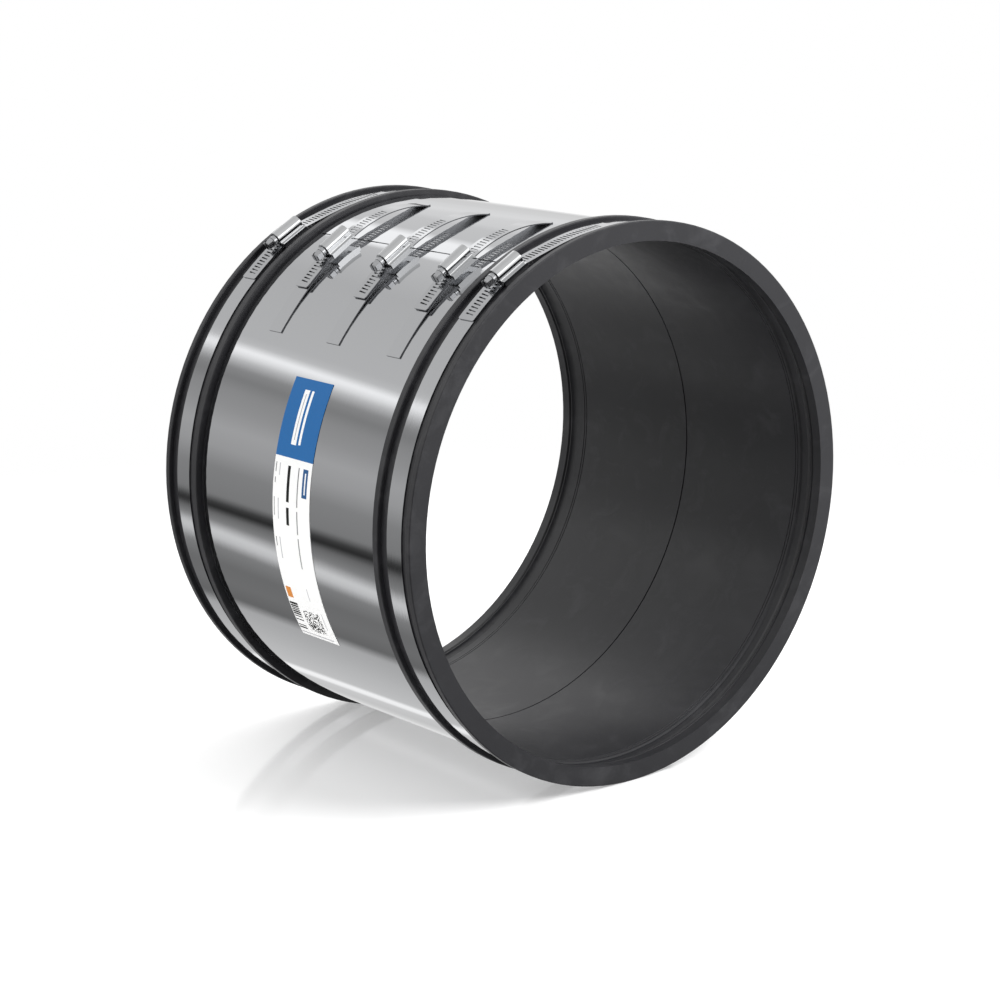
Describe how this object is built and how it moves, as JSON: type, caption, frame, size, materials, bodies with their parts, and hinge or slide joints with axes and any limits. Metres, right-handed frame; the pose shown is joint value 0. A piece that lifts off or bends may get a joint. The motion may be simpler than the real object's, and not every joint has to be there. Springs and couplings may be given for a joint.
{
  "type": "hose adapter",
  "caption": "Straight rubber sleeve adapter for large pipes, with a rolled stainless shear band, short worm-drive clamps across it and worm-drive clamps round both ends.",
  "frame": {"origin": "centre of the lower end face, on the sleeve's axis", "axes": "+Z along the sleeve's axis, up out of the upper mouth; -Y towards the row of clamps; +X along the clamp screws, towards their heads"},
  "size_m": [0.4139, 0.4236, 0.3],
  "materials": {
    "sleeve_rubber": "moulded, satin",
    "mirror_steel": "bright rolled, mirror",
    "strap_steel": "bright rolled, pressed",
    "screw_steel": "cold formed, bright",
    "label_film": "printed film, satin"
  },
  "bodies": {
    "coupling": {"rubber_sleeve": "sleeve_rubber", "shear_band": "mirror_steel", "label": "label_film", "shear_clamp_1_fixed_strap": "strap_steel", "shear_clamp_1_toothed_strap": "strap_steel", "shear_clamp_1_housing": "strap_steel", "shear_clamp_2_fixed_strap": "strap_steel", "shear_clamp_2_toothed_strap": "strap_steel", "shear_clamp_2_housing": "strap_steel", "shear_clamp_3_fixed_strap": "strap_steel", "shear_clamp_3_toothed_strap": "strap_steel", "shear_clamp_3_housing": "strap_steel", "lower_end_clamp_band": "strap_steel", "lower_end_clamp_housing": "strap_steel", "upper_end_clamp_band": "strap_steel", "upper_end_clamp_housing": "strap_steel"},
    "shear_clamp_1_screw": {"shear_clamp_1_screw": "screw_steel"},
    "shear_clamp_2_screw": {"shear_clamp_2_screw": "screw_steel"},
    "shear_clamp_3_screw": {"shear_clamp_3_screw": "screw_steel"},
    "lower_end_clamp_screw": {"lower_end_clamp_screw": "screw_steel"},
    "upper_end_clamp_screw": {"upper_end_clamp_screw": "screw_steel"}
  },
  "joints": [
    {"name": "shear_clamp_1_screw_turn", "type": "hinge", "parent": "coupling", "child": "shear_clamp_1_screw", "pos_m": [0, -0.21128, 0.0868], "axis": [1, 0, 0], "continuous": true},
    {"name": "shear_clamp_2_screw_turn", "type": "hinge", "parent": "coupling", "child": "shear_clamp_2_screw", "pos_m": [0, -0.21128, 0.15755], "axis": [1, 0, 0], "continuous": true},
    {"name": "shear_clamp_3_screw_turn", "type": "hinge", "parent": "coupling", "child": "shear_clamp_3_screw", "pos_m": [0, -0.21128, 0.2283], "axis": [1, 0, 0], "continuous": true},
    {"name": "lower_end_clamp_screw_turn", "type": "hinge", "parent": "coupling", "child": "lower_end_clamp_screw", "pos_m": [-0.01027, -0.21006, 0.02025], "axis": [0.9988, -0.0488, 0], "continuous": true},
    {"name": "upper_end_clamp_screw_turn", "type": "hinge", "parent": "coupling", "child": "upper_end_clamp_screw", "pos_m": [-0.01027, -0.21006, 0.27975], "axis": [0.9988, -0.0488, 0], "continuous": true}
  ]
}
